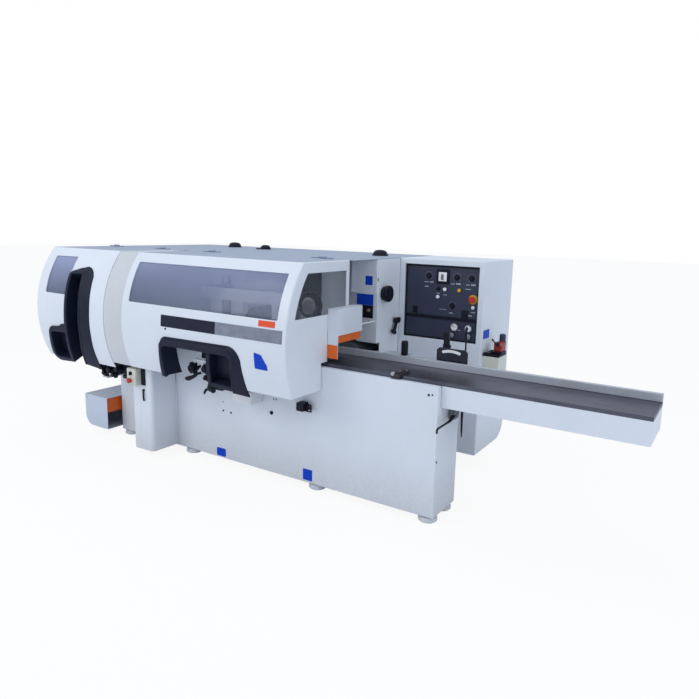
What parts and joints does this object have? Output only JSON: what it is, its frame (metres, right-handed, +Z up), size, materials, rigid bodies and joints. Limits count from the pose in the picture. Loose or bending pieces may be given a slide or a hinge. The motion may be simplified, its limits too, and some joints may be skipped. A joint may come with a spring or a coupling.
{
  "type": "four sided moulder",
  "caption": "White woodworking moulder with a long infeed table and fence, curved lifting hoods with smoked windows, black hand openings and a tall control cabinet.",
  "frame": {"origin": "middle of the overall footprint, on the floor", "axes": "+X along the feed line to the infeed end, +Y from the hoods to the back wall, +Z up"},
  "size_m": [4.42, 1.889, 1.549],
  "materials": {
    "white_paint": "satin white paint",
    "grey_paint": "satin grey paint",
    "table_steel": "ground and worn by timber",
    "bright_steel": "turned",
    "cast": "painted casting",
    "black_plastic": "fine grain",
    "black_paint": "satin black paint",
    "panel_paint": "satin dark paint",
    "grey_plate": "printed strip",
    "smoked_pane": "smoked clear plastic",
    "orange_plastic": "flexible",
    "red_plastic": "gloss",
    "white_plastic": "gloss",
    "yellow_plastic": "gloss",
    "beige_paint": "satin beige paint"
  },
  "bodies": {
    "base": {"bed_frame": "white_paint", "levelling_feet": "bright_steel", "machine_table": "table_steel", "rear_housing": "white_paint", "roof_panel": "grey_paint", "column_cover": "white_paint", "extraction_caps": "black_plastic", "control_cabinet": "white_paint", "control_panel": "panel_paint", "infeed_guard": "white_paint", "service_box": "white_paint", "switch_box": "beige_paint", "end_guard": "grey_paint", "lubricant_tank": "beige_paint", "lever_plate": "black_paint", "adjuster_block": "grey_paint", "interlock_switch": "black_plastic", "middle_band": "grey_paint", "feed_columns": "bright_steel", "spindle_units": "cast"},
    "infeed_table": {"infeed_table": "table_steel", "table_apron": "white_paint"},
    "infeed_fence": {"infeed_fence": "table_steel"},
    "fence_grip": {"fence_grip": "black_plastic"},
    "main_hood": {"main_hood": "white_paint", "main_windows": "smoked_pane", "main_shroud": "black_plastic", "hood_plates": "grey_plate"},
    "outfeed_hood": {"outfeed_hood": "white_paint", "outfeed_window": "smoked_pane", "outfeed_shroud": "black_plastic"},
    "feed_beam": {"feed_beam": "white_paint"},
    "height_dial": {"height_dial": "black_plastic"},
    "speed_dial": {"speed_dial": "black_plastic"},
    "feed_dial": {"feed_dial": "black_plastic"},
    "mode_selector": {"mode_selector": "black_plastic"},
    "start_button": {"start_button": "white_plastic"},
    "jog_button": {"jog_button": "white_plastic"},
    "yellow_button": {"yellow_button": "yellow_plastic"},
    "emergency_stop": {"emergency_stop": "red_plastic"},
    "wall_knob": {"wall_knob": "black_plastic"},
    "wall_lever": {"wall_lever": "black_plastic"},
    "guard_flap": {"guard_flap": "orange_plastic"},
    "service_door": {"service_door": "white_paint"},
    "door_handle": {"door_handle": "black_plastic"},
    "mushroom_stop": {"mushroom_stop": "red_plastic"},
    "switch_selector": {"switch_selector": "black_plastic"},
    "pump_lever": {"pump_lever": "black_plastic"},
    "depth_lever": {"depth_lever": "black_plastic"},
    "rod_lever": {"rod_lever": "black_plastic"},
    "side_presser": {"side_presser": "cast"},
    "lift_lever": {"lift_lever": "cast"},
    "front_roller": {"front_roller": "bright_steel"},
    "middle_roller": {"middle_roller": "bright_steel"},
    "rear_roller": {"rear_roller": "bright_steel"},
    "bottom_cutterhead": {"bottom_cutterhead": "bright_steel"},
    "right_cutterhead": {"right_cutterhead": "bright_steel"},
    "left_cutterhead": {"left_cutterhead": "bright_steel"},
    "top_cutterhead": {"top_cutterhead": "bright_steel"},
    "second_cutterhead": {"second_cutterhead": "bright_steel"}
  },
  "joints": [
    {"name": "main_hood_hinge", "type": "hinge", "parent": "base", "child": "main_hood", "pos_m": [-0.444, -0.255, 1.5135], "axis": [-1, 0, 0], "range_deg": [0, 70]},
    {"name": "outfeed_hood_hinge", "type": "hinge", "parent": "base", "child": "outfeed_hood", "pos_m": [-1.7975, -0.255, 1.5135], "axis": [-1, 0, 0], "range_deg": [0, 70]},
    {"name": "table_height_slide", "type": "slide", "parent": "base", "child": "infeed_table", "axis": [0, 0, -1], "range_m": [0, 0.01]},
    {"name": "fence_slide", "type": "slide", "parent": "infeed_table", "child": "infeed_fence", "axis": [0, 1, 0], "range_m": [0, 0.01]},
    {"name": "fence_grip_turn", "type": "hinge", "parent": "infeed_fence", "child": "fence_grip", "pos_m": [0.682, -0.1815, 0.952], "axis": [0, 0, 1], "range_deg": [-90, 90]},
    {"name": "height_dial_turn", "type": "hinge", "parent": "base", "child": "height_dial", "pos_m": [0.557, 0.3905, 1.386], "axis": [0, -1, 0], "range_deg": [-135, 135]},
    {"name": "speed_dial_turn", "type": "hinge", "parent": "base", "child": "speed_dial", "pos_m": [0.775, 0.3905, 1.386], "axis": [0, -1, 0], "range_deg": [-135, 135]},
    {"name": "feed_dial_turn", "type": "hinge", "parent": "base", "child": "feed_dial", "pos_m": [0.885, 0.3905, 1.386], "axis": [0, -1, 0], "range_deg": [-135, 135]},
    {"name": "mode_selector_turn", "type": "hinge", "parent": "base", "child": "mode_selector", "pos_m": [0.75, 0.3905, 1.183], "axis": [0, -1, 0], "range_deg": [-45, 45]},
    {"name": "start_button_press", "type": "slide", "parent": "base", "child": "start_button", "axis": [0, 1, 0], "range_m": [0, 0.004], "stiffness_N_per_m": 800},
    {"name": "jog_button_press", "type": "slide", "parent": "base", "child": "jog_button", "axis": [0, 1, 0], "range_m": [0, 0.004], "stiffness_N_per_m": 800},
    {"name": "yellow_button_press", "type": "slide", "parent": "base", "child": "yellow_button", "axis": [0, 1, 0], "range_m": [0, 0.004], "stiffness_N_per_m": 800},
    {"name": "emergency_stop_press", "type": "slide", "parent": "base", "child": "emergency_stop", "axis": [0, 1, 0], "range_m": [0, 0.004]},
    {"name": "wall_knob_turn", "type": "hinge", "parent": "base", "child": "wall_knob", "pos_m": [0.332, 0.1325, 1.259], "axis": [1, 0, 0], "continuous": true},
    {"name": "wall_lever_swing", "type": "hinge", "parent": "base", "child": "wall_lever", "pos_m": [0.332, 0.3015, 1.05], "axis": [-1, 0, 0], "range_deg": [0, 75]},
    {"name": "guard_flap_swing", "type": "hinge", "parent": "base", "child": "guard_flap", "pos_m": [0.361, -0.353, 1.074], "axis": [0, 1, 0], "range_deg": [0, 55]},
    {"name": "service_door_hinge", "type": "hinge", "parent": "base", "child": "service_door", "pos_m": [-1.046, -0.5625, 0.265], "axis": [0, 0, 1], "range_deg": [0, 88]},
    {"name": "door_handle_turn", "type": "hinge", "parent": "service_door", "child": "door_handle", "pos_m": [-1.127, -0.7895, 0.509], "axis": [0, -1, 0], "range_deg": [0, 90]},
    {"name": "mushroom_stop_press", "type": "slide", "parent": "base", "child": "mushroom_stop", "axis": [0, 1, 0], "range_m": [0, 0.004]},
    {"name": "switch_selector_turn", "type": "hinge", "parent": "base", "child": "switch_selector", "pos_m": [-1.199, -0.8415, 0.63428], "axis": [0, -1, 0], "range_deg": [-45, 45]},
    {"name": "pump_lever_swing", "type": "hinge", "parent": "base", "child": "pump_lever", "pos_m": [1.08416, 0.4425, 0.9376], "axis": [1, 0, 0], "range_deg": [-35, 0]},
    {"name": "depth_lever_swing", "type": "hinge", "parent": "base", "child": "depth_lever", "pos_m": [0.954, -0.1345, 0.81], "axis": [0, 1, 0], "range_deg": [-30, 5]},
    {"name": "rod_lever_swing", "type": "hinge", "parent": "base", "child": "rod_lever", "pos_m": [1.077, -0.1345, 0.81], "axis": [0, 1, 0], "range_deg": [0, 25]},
    {"name": "presser_slide", "type": "slide", "parent": "base", "child": "side_presser", "axis": [0, -1, 0], "range_m": [0, 0.04]},
    {"name": "lift_lever_turn", "type": "hinge", "parent": "base", "child": "lift_lever", "pos_m": [1.105, -0.3655, 0.645], "axis": [1, 0, 0], "range_deg": [-10, 40]},
    {"name": "feed_beam_slide", "type": "slide", "parent": "base", "child": "feed_beam", "axis": [0, 0, 1], "range_m": [-0.02, 0.05]},
    {"name": "front_roller_spin", "type": "hinge", "parent": "feed_beam", "child": "front_roller", "pos_m": [-0.01, -0.3145, 0.99], "axis": [0, 1, 0], "continuous": true},
    {"name": "middle_roller_spin", "type": "hinge", "parent": "feed_beam", "child": "middle_roller", "pos_m": [-0.295, -0.3145, 0.99], "axis": [0, 1, 0], "continuous": true},
    {"name": "rear_roller_spin", "type": "hinge", "parent": "feed_beam", "child": "rear_roller", "pos_m": [-0.62, -0.3145, 0.99], "axis": [0, 1, 0], "continuous": true},
    {"name": "bottom_cutterhead_spin", "type": "hinge", "parent": "base", "child": "bottom_cutterhead", "pos_m": [0.095, -0.1955, 0.8], "axis": [0, 1, 0], "continuous": true},
    {"name": "top_cutterhead_spin", "type": "hinge", "parent": "base", "child": "top_cutterhead", "pos_m": [-0.795, -0.1955, 0.98], "axis": [0, 1, 0], "continuous": true},
    {"name": "second_cutterhead_spin", "type": "hinge", "parent": "base", "child": "second_cutterhead", "pos_m": [-1.225, -0.1955, 0.8], "axis": [0, 1, 0], "continuous": true},
    {"name": "right_cutterhead_spin", "type": "hinge", "parent": "base", "child": "right_cutterhead", "pos_m": [-0.13, -0.1365, 0.816], "axis": [0, 0, 1], "continuous": true},
    {"name": "left_cutterhead_spin", "type": "hinge", "parent": "base", "child": "left_cutterhead", "pos_m": [-0.455, -0.4065, 0.816], "axis": [0, 0, 1], "continuous": true}
  ],
  "couplings": [
    {"joint": "middle_roller_spin", "follows": "front_roller_spin", "ratio": 1},
    {"joint": "rear_roller_spin", "follows": "front_roller_spin", "ratio": 1}
  ]
}
